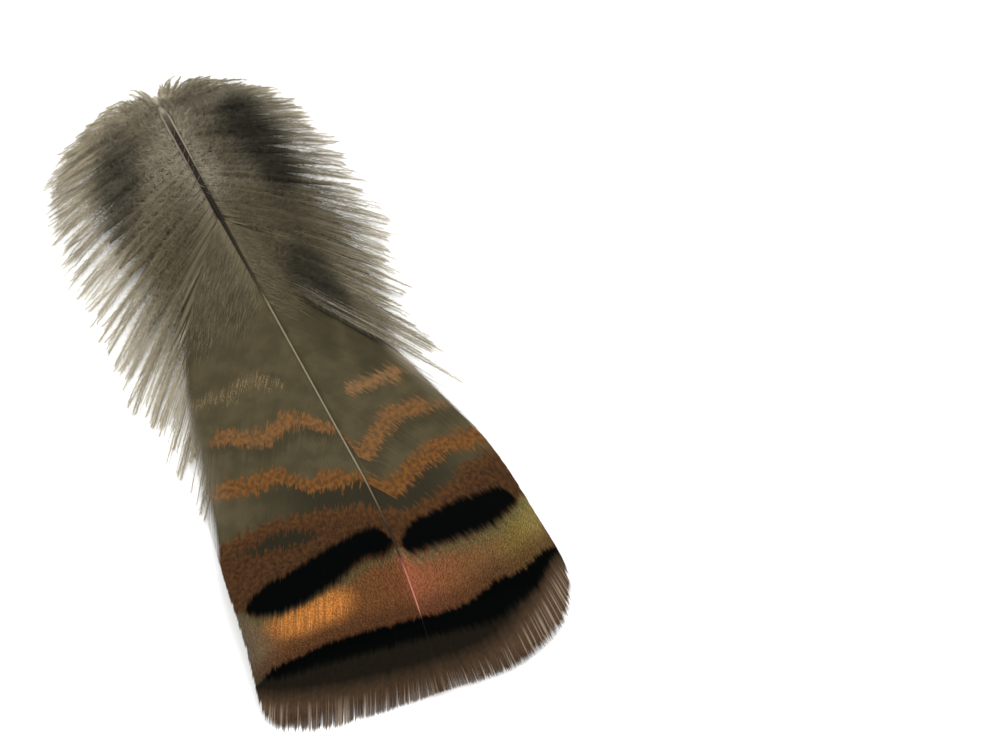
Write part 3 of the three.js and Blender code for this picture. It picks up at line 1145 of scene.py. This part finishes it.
@dataclass(frozen=True)
class ShaftFinish:
    """Horn: pale at the quill end, dark in the down, tan between the vanes."""

    # The pinkish stops at 93 and 98.5 mm, where the shaft crosses the copper band, are pinkish horn with a
    # painted beaded highlight.
    ridge: Stops = (
        (0.0, (186, 176, 160)), (3.2, (170, 160, 144)), (5.0, (84, 76, 66)), (9.0, (36, 32, 28)),
        (28.0, (32, 28, 24)), (38.0, (40, 35, 28)), (43.0, (56, 50, 39)), (46.0, (112, 104, 85)),
        (76.0, (116, 107, 87)), (83.0, (84, 68, 50)), (87.0, (36, 31, 27)), (91.0, (48, 39, 33)),
        (93.0, (158, 98, 82)), (98.5, (160, 104, 88)), (100.0, (20, 19, 18)), (104.0, (34, 29, 25)),
    )
    flank: Colour = (150, 141, 125)
    flank_reach: Range = (0.33, 0.56)
    grain: Range = (300.0, 3.0)
    tone_level: Range = (0.5, 0.75)
    roughness_level: Range = (0.2, 0.5)
    specular: float = 0.04

    def material(self) -> bpy.types.Material:
        """Builds the shaft's material.

        Returns:
            The material.
        """
        graph = Graph("quill_horn")
        plan, u, v = graph.map("plan")
        colour = graph.ramp(v, tuple((plan_along(place), shade) for place, shade in self.ridge))
        flank = graph.ease(graph.beside(u), *(reach / PLAN_WIDTH for reach in self.flank_reach))
        colour = graph.mix(flank, colour, linear(self.flank))
        grain = graph.noise(plan, *self.grain)
        colour = graph.scale(colour, graph.level(grain, *self.tone_level))
        return graph.finish(colour, graph.level(grain, *self.roughness_level), self.specular)


@dataclass
class Shaft:
    """Quill and rachis, one smooth tapered rod with a groove below."""

    sheet: Sheet
    finish: ShaftFinish
    radii: Points = (
        (0, 0.4), (0.8, 0.6), (2.5, 0.74), (5, 0.8), (14, 0.62), (22, 0.44), (30, 0.28), (38, 0.19),
        (45, 0.15), (85, 0.12), (98, 0.1), (100, 0.03), (104, 0.02),
    )
    rings: int = 140
    ring_growth: float = 1.2
    sides: int = 14
    groove: float = 0.12
    groove_power: int = 6

    def radius(self, along: np.ndarray) -> np.ndarray:
        """Reads the shaft's radius at places along it."""
        places, radii = zip(*self.radii)
        return np.interp(along, places, radii)

    def rod(self) -> tuple[np.ndarray, np.ndarray]:
        """Extrudes a straight closed rod of radius 1, a ring at each step of 1.

        Returns:
            Points of the rod, and point numbers of its triangles.
        """
        rod = bmesh.new()
        bmesh.ops.create_circle(rod, cap_ends=True, segments=self.sides, radius=1.0)
        face = rod.faces[:]
        for _ in range(self.rings - 1):
            grown = bmesh.ops.extrude_face_region(rod, geom=face)["geom"]
            ring = [part for part in grown if isinstance(part, bmesh.types.BMVert)]
            face = [part for part in grown if isinstance(part, bmesh.types.BMFace)]
            bmesh.ops.translate(rod, vec=(0.0, 0.0, 1.0), verts=ring)
        bmesh.ops.recalc_face_normals(rod, faces=rod.faces[:])
        bmesh.ops.triangulate(rod, faces=rod.faces[:])
        rod.verts.index_update()
        points = np.array([vertex.co[:] for vertex in rod.verts])
        triangles = np.array([[vertex.index for vertex in side.verts] for side in rod.faces])
        rod.free()
        return points, triangles

    def build(self) -> bpy.types.Object:
        """Bends the rod on the shaft's line, tapers it and dresses it.

        Returns:
            The shaft's object.
        """
        rod, triangles = self.rod()
        end = self.radii[-1][0]
        share = np.rint(rod[:, 2]) / (self.rings - 1)
        along = end * share**self.ring_growth
        turn = np.arctan2(rod[:, 1], rod[:, 0])
        under = np.clip(-np.sin(turn), 0.0, 1.0) ** self.groove_power
        radius = self.radius(along) * (1.0 - 2 * self.groove * under)
        across = radius * np.cos(turn)
        points, right, up = self.sheet.line.frames(along)
        points = points + right * across[:, None] + up * (radius * np.sin(turn))[:, None]
        skin = Skin("shaft_horn")
        skin.add(points[:, None], triangles, pairs(along, across), pairs(turn / (2 * np.pi) + 0.5, share))
        return skin.piece("shaft", "shaft", self.finish.material())


@dataclass
class Vane:
    """One vane: barbs laid side by side like shingles, loose at the fringe and where the vane starts.

    Ribbon corners give a shift in half widths and a height in half thicknesses.
    """

    sheet: Sheet
    fan: BarbFan
    finish: bpy.types.Material
    seed: int
    barbs: int = 320
    steps: int = 40
    step_growth: float = 1.4
    thickness: float = 0.035
    tip_thinning: float = 0.4
    ribbon: Points = ((-1.0, -0.35), (0.0, 1.0), (1.0, 0.35), (0.0, -1.0))
    overlap: float = 1.25
    trim: float = 0.016
    point: Range = (0.985, 1.0)
    point_narrowing: float = 0.8
    loose_ends: Range = (105.0, 111.0)
    loose_width: float = 0.6
    loose_wave: float = 0.15
    flat_wave: float = 0.005
    open_ranks: Range = (0.3, 0.23)
    open_from: Range = (0.78, 0.85)
    open_near: float = 0.7
    open_first: float = 0.5
    open_early: float = 0.35
    open_ease: float = 0.8
    open_width: float = 0.25
    clump: int = 9
    clump_pull: float = 0.1
    split_share: float = 0.07
    split_pull: float = 0.35
    tooth: float = 0.12
    tooth_blend: tuple[float, ...] = (0.4, 0.6, 0.6, 0.4)

    def opening(self, rank: np.ndarray, share: np.ndarray) -> np.ndarray:
        """Tells how far the barbs of the vane's start stand apart near its margin.

        Args:
            rank: Rank of each barb.
            share: Share along each barb.

        Returns:
            0 where the web is closed and 1 where it is open.
        """
        none, full = self.open_ranks
        first, last = self.open_from
        begin = first + (last - first) * smooth_step(rank, self.open_near * full, none)
        begin = begin - self.open_early * smooth_step(rank, self.open_first * full, 0.0)
        outer = smooth_step((share - begin) / (1.0 - begin), 0.0, self.open_ease)
        return outer * smooth_step(rank, none, full)

    def build(self) -> bpy.types.Object:
        """Builds the barbs and dresses them.

        Returns:
            The vane's object.
        """
        draw = np.random.RandomState(self.seed)
        trim = 1.0 - self.trim * draw.rand(self.barbs) ** 2
        grid = 1.0 - np.linspace(1.0, 0.0, self.steps) ** self.step_growth
        share = grid[None] * trim[:, None]
        rank = np.broadcast_to(((np.arange(self.barbs) + 0.5) / self.barbs)[:, None], share.shape)
        along, _ = self.fan.places(rank, share)
        fringe, margin = smooth_step(along, *self.loose_ends), self.opening(rank, share)
        loose = np.maximum(fringe, margin)
        width = np.minimum(1.0 - (1.0 - self.loose_width) * fringe, 1.0 - (1.0 - self.open_width) * margin)
        width = width * (1.0 - self.point_narrowing * smooth_step(grid, *self.point))
        clumps = np.arange(self.barbs) // self.clump
        centre = (clumps * self.clump + 0.5 * self.clump) / self.barbs
        split = draw.rand(clumps[-1] + 1)[clumps] < self.split_share
        drift = (centre - rank[:, 0]) * np.where(split, self.split_pull, self.clump_pull)
        middle = np.clip(rank + drift[:, None] * loose**2, 0.0, 1.0)
        wave = draw.uniform(-self.flat_wave, self.flat_wave, self.barbs)[:, None]
        wave = wave + self.loose_wave * draw.randn(self.barbs)[:, None] * loose**2
        half = 0.5 * self.overlap / self.barbs * width
        rise = 0.5 * self.thickness * (1.0 - self.tip_thinning * share)
        corners = []
        for shift, height in self.ribbon:
            place = self.fan.places(np.clip(middle + shift * half, 0.0, 1.0), share)
            corners.append(self.sheet.at(*place, raised=height * rise + wave))
        tooth = self.tooth * np.convolve(draw.randn(self.barbs), self.tooth_blend, "same")
        along, across = self.fan.places(middle, share)
        plan = pairs(along + tooth[:, None], across)
        strand = pairs(draw.rand(self.barbs)[:, None], share)
        name = f"{self.fan.side.name.lower()}_vane"
        skin = Skin(f"{name}_barbs")
        skin.add_tubes(np.stack(corners, 2), plan, strand, self.fan.side is Side.RIGHT)
        return skin.piece(name, "vane", self.finish)


@dataclass
class Down:
    """The downy barbs of one side: thin stems with many fine barbules over a soft core.

    Fields that end in a layer's name hold for that layer alone. Ranks and shares are between 0 and 1,
    angles are in degrees and lengths in millimetres.
    """

    sheet: Sheet
    fan: BarbFan
    web_fan: BarbFan
    finish: bpy.types.Material
    seed: int
    stems: int = 120
    stem_rings: int = 16
    stem_ranks: float = 0.985
    stem_radius: float = 0.045
    stem_taper: float = 0.8
    stem_sway: Range = (1.3, 0.4)
    tip_lower: Range = (0.1, 0.9)
    tip_upper: Range = (0.9, 2.2)
    lift: float = 1.5
    lift_lower: Range = (-0.5, 0.7)
    lift_upper: Range = (0.6, 1.4)
    tuft: int = 3
    tuft_mixing: Range = (-0.3, 0.3)
    tuft_middle: Range = (0.3, 0.7)
    tuft_pull: Range = (0.2, 0.75)
    tuft_calm: Range = (0.75, 0.9)
    tuft_calming: float = 0.8
    short_first: float = 0.1
    thin: float = 0.3
    stem_short: float = 0.08
    sleek_ranks: float = 0.2
    bare: float = 0.5
    bare_last: float = 0.7
    bare_ranks: Range = (0.8, 1.0)
    bare_least: float = 0.01
    bare_spread: Range = (0.95, 1.25)
    covers_vane: bool = False
    cover_roots: Range = (23.0, 31.0)
    cover_height: float = 0.7
    cover_spread: Range = (0.5, 1.5)
    cover_out: Range = (0.7, 1.2)
    cover_dip: float = 0.5
    barbules: int = 352
    barbule_length: float = 2.6
    barbule_radius: float = 0.032
    barbule_gather: float = 0.8
    barbule_spread: Range = (15.0, 40.0)
    barbule_flare: float = 60.0
    flare_end: Range = (0.55, 0.9)
    sleek_spread: Range = (5.0, 10.0)
    full_stem: float = 14.0
    least_stem: float = 0.4
    barbule_flatness: float = 0.6
    barbule_shortening: float = 0.62
    sleek_shortening: float = 0.4
    barbule_lengths: Range = (0.5, 1.2)
    barbule_foot: float = 1.15
    barbule_thinning: float = 0.5
    barbule_hint: float = 0.31
    core_ribs: int = 40
    core_rings: int = 12
    core_end: float = 0.68
    core_start_spread: Range = (0.8, 1.5)
    core_end_spread: Range = (0.8, 1.0)
    core_width: float = 1.8
    core_taper: float = 0.9
    core_foot: float = 0.1
    core_foot_end: float = 0.3
    core_thickness: float = 0.1
    core_ribbon: Points = ((-1.0, -0.2), (0.0, 0.5), (1.0, 0.2), (0.0, -0.5))
    core_tip: float = 0.8
    core_lift: float = 0.4
    core_rank_upper: float = 0.62
    core_start_upper: float = 0.22
    core_over_web: float = 0.35
    core_under_web: float = 0.5
    # How many of the upper core's last ribs are dark, as a painted shadow at its edge over the vane.
    core_shadow_ribs: int = 2
    veil: int = 8000
    veil_ranks: float = 0.3
    veil_way: Range = (0.0, 0.85)
    veil_ends: Range = (31.0, 49.0)
    veil_turn: float = 0.02
    veil_step: Range = (0.04, 0.1)
    veil_foot: float = 0.03
    veil_tip: Range = (0.05, 0.35)
    veil_share: Range = (0.12, 0.42)

    def cover(self, rank: np.ndarray) -> np.ndarray:
        """Tells which barbs lie over the vane: 0 for the first ones and 1 for the last."""
        return smooth_step(self.fan.barb(rank)[..., 0], *self.cover_roots)

    def bare_share(self, rank: np.ndarray) -> np.ndarray:
        """Tells how far along a barb its fluff starts."""
        late = smooth_step(rank, *self.bare_ranks)
        return self.cover(rank) * (self.bare + (self.bare_last - self.bare) * late)

    def root_heights(self, rank: np.ndarray) -> np.ndarray:
        """Reads the height of the shaft where barbs leave it."""
        return self.sheet.line.frames(self.fan.barb(rank)[..., 0])[0][..., 2]

    def stem_paths(self, draw: np.random.RandomState, layer: Layer, share: np.ndarray) -> np.ndarray:
        """Lays the stems from the shaft out to their tips, which meet in tufts.

        Args:
            draw: Source of chance.
            layer: Layer of the down.
            share: Shares of the way at which points are wanted.

        Returns:
            Points of each stem, then along and across of each, on a last axis of 5.
        """
        count, upper = self.stems, layer is Layer.UPPER
        rank = self.stem_ranks * (np.arange(count) + draw.uniform(0.0, 1.0, count)) / count
        tufts = count // self.tuft
        group = np.clip(rank * tufts + draw.uniform(*self.tuft_mixing, count), 0, tufts - 1).astype(int)
        centre = (group + draw.uniform(*self.tuft_middle, tufts)[group]) / tufts
        calm = 1.0 - self.tuft_calming * smooth_step(rank, *self.tuft_calm)
        pull = draw.uniform(*self.tuft_pull, count) * calm
        short = self.short_first + (self.thin - self.short_first) * self.cover(rank)
        reach = 1.0 - short * draw.rand(tufts)[group] - self.stem_short * draw.rand(count) ** 2
        way = share[None] * reach[:, None]
        place = rank[:, None] + (pull * (centre - rank))[:, None] * way**4
        along, across = self.fan.places(np.clip(place, 0.0, 1.0), way)
        sway = draw.uniform(-1.0, 1.0, (count, 2)) * self.stem_sway
        along = along + sway[:, :1] * np.sin(np.pi * way) + sway[:, 1:] * np.sin(3 * np.pi * way)
        points = self.sheet.at(along, across)
        web = points[..., 2].copy()
        root = self.root_heights(rank)
        tip = draw.uniform(*(self.tip_upper if upper else self.tip_lower), count)
        lift = self.lift * draw.uniform(*(self.lift_upper if upper else self.lift_lower), count)
        height = root[:, None] + (tip - root)[:, None] * way + lift[:, None] * np.sin(np.pi * way)
        if upper:
            bare = self.bare_share(rank)[:, None] + self.bare_least
            out = smooth_step(way / bare, *self.cover_out)
            over = self.cover_height * draw.uniform(*self.cover_spread, count)[:, None] * out
            over = over - self.cover_dip * (1.0 - out)
            height = height + self.cover(rank)[:, None] * (web + over - height)
        points[..., 2] = height
        return np.concatenate([points, along[..., None], across[..., None]], -1)

    def build(self, layer: Layer) -> bpy.types.Object:
        """Builds one layer of core, stems and barbules and dresses it.

        Args:
            layer: Layer of the down.

        Returns:
            The layer's object.
        """
        draw = np.random.RandomState(self.seed + (layer is Layer.UPPER))
        grid = np.linspace(0.0, 1.0, self.stem_rings)
        paths = self.stem_paths(draw, layer, grid)
        common, sleek = (draw.uniform(*chances, self.stems) for chances in (COMMON_CHANCE, SLEEK_CHANCE))
        last = np.arange(self.stems) >= self.stems * (1.0 - self.sleek_ranks)
        chance = np.where(last, sleek, common)
        node = f"{self.fan.side.name.lower()}_down"
        skin = Skin(f"{node}_{layer.value}")
        if layer is Layer.LOWER or self.covers_vane:
            self.add_core(skin, draw, layer)
        self.add_stems(skin, paths, grid, chance)
        self.add_barbules(skin, draw, paths, chance)
        if layer is Layer.UPPER:
            self.add_veil(skin, draw)
        return skin.piece(node, "down", self.finish)

    def add_core(self, skin: Skin, draw: np.random.RandomState, layer: Layer) -> None:
        """Adds broad overlapping ribs that close the fluff from the shaft to near the rim.

        Args:
            skin: Mesh to add to.
            draw: Source of chance.
            layer: Layer of the down: below the vane, or over it.
        """
        upper = layer is Layer.UPPER
        first, start = (self.core_rank_upper, self.core_start_upper) if upper else (0.0, 0.0)
        grid = np.linspace(0.0, 1.0, self.core_rings)
        begin = start * draw.uniform(*self.core_start_spread, self.core_ribs)[:, None]
        end = self.core_end * draw.uniform(*self.core_end_spread, self.core_ribs)[:, None]
        way = begin + (end - begin) * grid[None]
        rank = first + (1.0 - first) * (np.arange(self.core_ribs) + 0.5) / self.core_ribs
        rank = np.broadcast_to(rank[:, None], way.shape)
        taper = 1.0 - self.core_taper * grid**2
        half = 0.5 * self.core_width * (1.0 - first) / self.core_ribs * taper
        places = self.fan.places(rank, way)
        web = self.sheet.at(*places)[..., 2]
        root = self.root_heights(rank)
        height = root + (self.core_tip - root) * way + self.core_lift * self.lift * np.sin(np.pi * way)
        if upper:
            opened = smooth_step(grid, 0.0, self.core_foot_end)
            half = half * (self.core_foot + (1.0 - self.core_foot) * opened)
            height = np.maximum(height, web + self.core_over_web)
        else:
            height = height - self.cover(rank) * np.maximum(height - web + self.core_under_web, 0.0)
        corners = []
        for shift, raised in self.core_ribbon:
            side = np.clip(rank + shift * half, 0.0, 1.0)
            corner = self.sheet.at(*self.fan.places(side, way))
            corner[..., 2] = height + self.core_thickness * raised
            corners.append(corner)
        # The last ribs of the upper core lie at its edge over the vane and are dark: a painted shadow under
        # that edge.
        shadow_edge = (np.arange(self.core_ribs) >= self.core_ribs - self.core_shadow_ribs) & upper
        chance = np.where(shadow_edge, SHADOW_RIB, UPPER_CORE if upper else LOWER_CORE)[:, None]
        skin.add_tubes(np.stack(corners, 2), pairs(*places), pairs(chance, way), self.fan.side is Side.RIGHT)

    def add_stems(self, skin: Skin, paths: np.ndarray, grid: np.ndarray, chance: np.ndarray) -> None:
        """Adds the stems as thin tapered tubes.

        Args:
            skin: Mesh to add to.
            paths: Points, along and across of each stem.
            grid: Share of the way of each point.
            chance: Chance number of each stem.
        """
        points = paths[..., :3]
        ahead = unit(np.gradient(points, axis=1))
        beside = unit(np.cross(ahead, UP))
        above = np.cross(beside, ahead)
        radius = self.stem_radius * (1.0 - self.stem_taper * grid)[:, None]
        turns = np.arange(3) * 2 * np.pi / 3
        corners = [points + radius * (beside * math.cos(a) + above * math.sin(a)) for a in turns]
        triangles = tube_triangles(self.stems, self.stem_rings, 3)[..., ::-1]
        skin.add(np.stack(corners, 2), triangles, paths[..., 3:], pairs(chance[:, None], grid))

    def add_barbules(
        self, skin: Skin, draw: np.random.RandomState, paths: np.ndarray, chance: np.ndarray
    ) -> None:
        """Adds the barbules as fine closed spikes along the stems.

        Args:
            skin: Mesh to add to.
            draw: Source of chance.
            paths: Points, along and across of each stem.
            chance: Chance number of each stem.
        """
        shape = self.stems, self.barbules
        way = ((np.arange(self.barbules)[None] + draw.rand(*shape)) / self.barbules) ** self.barbule_gather
        rank = (np.arange(self.stems) + 0.5) / self.stems
        bare = (self.bare_share(rank) * draw.uniform(*self.bare_spread, self.stems))[:, None]
        way = bare + (1.0 - bare) * way
        spot = way * (self.stem_rings - 1)
        index = np.minimum(spot.astype(int), self.stem_rings - 2)
        rows = np.arange(self.stems)[:, None]
        start, end = paths[rows, index], paths[rows, index + 1]
        base = start + (end - start) * (spot - index)[..., None]
        ahead = unit((end - start)[..., :3])
        beside = unit(np.cross(ahead, UP))
        above = np.cross(beside, ahead)
        turn = draw.uniform(0.0, 2 * np.pi, shape)
        outward = beside * np.cos(turn)[..., None] + above * (self.barbule_flatness * np.sin(turn))[..., None]
        sleek = smooth_step(chance, *PALE_EASE)[:, None]
        narrow, wide = self.barbule_spread
        wide = wide + self.barbule_flare * (1.0 - smooth_step(way, *self.flare_end))
        narrow, wide = (a + (b - a) * sleek for a, b in zip((narrow, wide), self.sleek_spread))
        spread = np.radians(narrow + (wide - narrow) * draw.rand(*shape))[..., None]
        spike = unit(ahead * np.cos(spread) + outward * np.sin(spread))
        stem_length = np.linalg.norm(np.diff(paths[..., :3], axis=1), axis=-1).sum(1)
        size = self.barbule_length * np.clip(stem_length / self.full_stem, self.least_stem, 1.0)[:, None]
        length = size * (1.0 - self.barbule_shortening * way) * (1.0 - self.sleek_shortening * sleek)
        length = length * draw.uniform(*self.barbule_lengths, shape)
        radius = self.barbule_radius * (self.barbule_foot - self.barbule_thinning * way)
        aside = ahead + self.barbule_hint
        strand = pairs(chance[:, None], way)
        skin.add_spikes(base[..., :3], spike * length[..., None], aside, radius, base[..., 3:], strand)

    def add_veil(self, skin: Skin, draw: np.random.RandomState) -> None:
        """Adds short loose barbules on the start of the vane, fewer and fewer towards its bars.

        Args:
            skin: Mesh to add to.
            draw: Source of chance.
        """
        rank = self.veil_ranks * draw.rand(self.veil)
        way = draw.uniform(*self.veil_way, self.veil)
        kept = self.web_fan.places(rank, way)[0] < draw.uniform(*self.veil_ends, self.veil)
        rank, way = rank[kept], way[kept]
        count = len(rank)
        foot = self.web_fan.places(rank, way)
        turned = np.clip(rank + draw.uniform(-self.veil_turn, self.veil_turn, count), 0.0, 1.0)
        tip = self.web_fan.places(turned, way + draw.uniform(*self.veil_step, count))
        base = self.sheet.at(*foot, raised=self.veil_foot)
        spike = self.sheet.at(*tip, raised=draw.uniform(*self.veil_tip, count)) - base
        strand = pairs(*(draw.uniform(*spread, count) for spread in (VEIL_CHANCE, self.veil_share)))
        skin.add_spikes(base, spike, UP, np.full(count, self.barbule_radius), pairs(*foot), strand)


@dataclass(frozen=True)
class Lamp:
    """One soft square lamp: its place in the feather's millimetres, side in metres and power in watts."""

    name: str
    place: Place
    size: float
    power: float


@dataclass(frozen=True)
class Studio:
    """Pale floor, soft light and the camera."""

    line: ShaftLine
    camera_place: Place = (-28.37, -172.27, 218.35)
    camera_aim: Place = (25.58, -69.46, 0.0)
    focal_pixels: float = 1700.0
    image_pixels: float = 1000.0
    sensor: float = 36.0
    nearest: float = 0.01
    floor_size: float = 1.6
    floor_colour: Colour = (254, 254, 253)
    floor_shade: Colour = (250, 250, 249)
    floor_cloud: float = 12.0
    floor_roughness: float = 0.8
    room_light: float = 0.62
    lamp_aim: Place = (0.0, -60.0, 0.0)
    lamps: tuple[Lamp, ...] = (
        Lamp("key", (230.0, 120.0, 400.0), 0.4, 3.2),
        Lamp("fill", (-320.0, -180.0, 360.0), 0.5, 1.6),
    )

    def spot(self, place: Place) -> Vector:
        """Turns a place in the feather's own millimetres into the scene's metres."""
        x, y = self.line.origin
        return Vector((place[0] + x, place[1] + y, place[2])) * MM

    def aim(self, name: str, data: bpy.types.ID, place: Place, target: Place) -> bpy.types.Object:
        """Sets up a lamp or camera that looks at a target.

        Args:
            name: Name of the new object.
            data: Its lamp or camera data.
            place: Where it stands, in the feather's millimetres.
            target: Where it looks.

        Returns:
            The new object.
        """
        thing = bpy.data.objects.new(name, data)
        thing.location = self.spot(place)
        look = self.spot(target) - thing.location
        thing.rotation_euler = look.to_track_quat("-Z", "Y").to_euler()
        bpy.context.collection.objects.link(thing)
        return thing

    def floor(self) -> bpy.types.Object:
        """Lays the floor.

        Returns:
            The floor's object.
        """
        sheet = bmesh.new()
        bmesh.ops.create_grid(sheet, x_segments=1, y_segments=1, size=0.5 * self.floor_size)
        mesh = bpy.data.meshes.new("floor")
        sheet.to_mesh(mesh)
        sheet.free()
        floor = bpy.data.objects.new("floor", mesh)
        bpy.context.collection.objects.link(floor)
        graph = Graph("pale_floor")
        cloud = graph.noise(graph.place(), self.floor_cloud)
        colour = graph.mix(cloud, linear(self.floor_shade), linear(self.floor_colour))
        graph.put(graph.shader.inputs["Base Color"], colour)
        graph.shader.inputs["Roughness"].default_value = self.floor_roughness
        mesh.materials.append(graph.material)
        return floor

    def light(self) -> None:
        """Lights the room evenly and hangs the lamps."""
        world = bpy.data.worlds.new("soft_room")
        world.use_nodes = True
        room = world.node_tree.nodes["Background"]
        room.inputs["Color"].default_value = (1.0, 1.0, 1.0, 1.0)
        room.inputs["Strength"].default_value = self.room_light
        bpy.context.scene.world = world
        for lamp in self.lamps:
            light = bpy.data.lights.new(lamp.name, "AREA")
            light.size = lamp.size
            light.energy = lamp.power
            self.aim(lamp.name, light, lamp.place, self.lamp_aim)

    def camera(self) -> bpy.types.Object:
        """Places the camera at the viewing angle.

        Returns:
            The camera's object.
        """
        data = bpy.data.cameras.new("camera")
        data.sensor_width = self.sensor
        data.lens = self.focal_pixels / self.image_pixels * self.sensor
        data.clip_start = self.nearest
        return self.aim("camera", data, self.camera_place, self.camera_aim)

    def build(self) -> None:
        """Sets up the floor, the light and the camera."""
        scene = bpy.context.scene
        scene.view_settings.view_transform = "Standard"
        self.floor()
        self.light()
        scene.camera = self.camera()


LEFT_BARBS: Stations = (
    (27, 50, 15.2), (30, 58, 17.8), (33.5, 66, 19.8), (37.5, 73.5, 21.5), (42, 80, 22.4), (46.5, 87, 22.9),
    (51, 96, 23.2), (56, 105.3, 23.5), (60, 109.2, 22.3), (66, 110.8, 18.8), (74, 111.4, 15.5),
    (82, 111.1, 12), (89, 110.8, 8.6), (96, 110.4, 4.8), (101, 110.1, 1.6), (104.5, 109.9, -0.8),
)
RIGHT_BARBS: Stations = (
    (28, 44, 10.4), (32.5, 52, 12), (37, 60, 13.4), (42, 71, 16.2), (46, 81.5, 18.3), (51, 91.5, 19.6),
    (56, 99.8, 20.9), (61, 104.6, 19.2), (68, 107.2, 16), (76, 108.6, 12.8), (84, 109.5, 9.6),
    (91, 109.8, 6.2), (97, 109.9, 3.2), (101.5, 109.9, 1.4), (104.5, 109.9, -0.8),
)
LEFT_LOCKS: Stations = (
    (2.6, -2, 1.2), (2.8, -1.1, 6.8), (3, 1.4, 12.8), (3.4, 4.8, 18.4), (5, 9.2, 22), (8, 14.5, 24),
    (12, 21.5, 25.2), (17, 30, 25.8), (22.5, 39, 25.8), (27, 47.5, 25.2), (30.5, 54, 24.2), (34, 60, 23.4),
    (37.5, 67, 22.6), (41, 73, 22.2),
)
RIGHT_LOCKS: Stations = (
    (2.6, -2, 1.2), (2.8, -0.8, 6.8), (3, 2.7, 12.3), (3.8, 7.5, 17.3), (6, 13, 20.2), (10, 20, 22.2),
    (15, 29, 23.2), (20, 38, 23.4), (25, 46.5, 22.7), (30, 55, 21.6), (34, 62, 20.5), (37, 67.5, 19.7),
    (39.5, 71.5, 19.2),
)
BARB_ANGLE = math.radians(38.0)
BARB_SWEEP = 0.68
BARB_OFFSET = 0.02
LOCK_ANGLE = math.radians(95.0)
LOCK_SWEEP = 0.5
LOCK_OFFSET = 0.4


def barb_fan(stations: Stations, side: Side, first_sweep: float) -> BarbFan:
    """Lays out the barbs of one vane."""
    return BarbFan(stations, side, BARB_ANGLE, BARB_ANGLE, first_sweep, BARB_SWEEP, BARB_OFFSET)


def lock_fan(stations: Stations, side: Side, last_angle: float) -> BarbFan:
    """Lays out the downy barbs of one side."""
    return BarbFan(stations, side, LOCK_ANGLE, math.radians(last_angle), LOCK_SWEEP, LOCK_SWEEP, LOCK_OFFSET)


def main() -> None:
    """Builds the feather, then the floor, the light and the camera."""
    logging.basicConfig(level=logging.INFO, format="%(name)s %(message)s")
    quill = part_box("shaft")[1]
    line = ShaftLine(origin=(quill[0] / MM - QUILL_RADIUS, quill[1] / MM))
    sheet = Sheet(line)
    Shaft(sheet, ShaftFinish()).build()

    web = VaneFinish().material()
    left_barbs = barb_fan(LEFT_BARBS, Side.LEFT, 1.0)
    right_barbs = barb_fan(RIGHT_BARBS, Side.RIGHT, BARB_SWEEP)
    Vane(sheet, left_barbs, web, 11, open_from=(0.55, 0.82)).build()
    Vane(sheet, right_barbs, web, 12).build()

    fluff = DownFinish().material()
    left_locks = lock_fan(LEFT_LOCKS, Side.LEFT, 33.0)
    right_locks = lock_fan(RIGHT_LOCKS, Side.RIGHT, 28.0)
    left_down = Down(
        sheet, left_locks, left_barbs, fluff, 21,
        cover_height=-0.6, thin=0.15, sleek_ranks=0.25,
    )
    right_down = Down(
        sheet, right_locks, right_barbs, fluff, 31,
        bare=0.2, bare_last=0.2, sleek_ranks=0.1, covers_vane=True, core_end=0.78,
    )
    for down in left_down, right_down:
        for layer in Layer:
            down.build(layer)

    Studio(line).build()


if __name__ == "__main__":
    main()
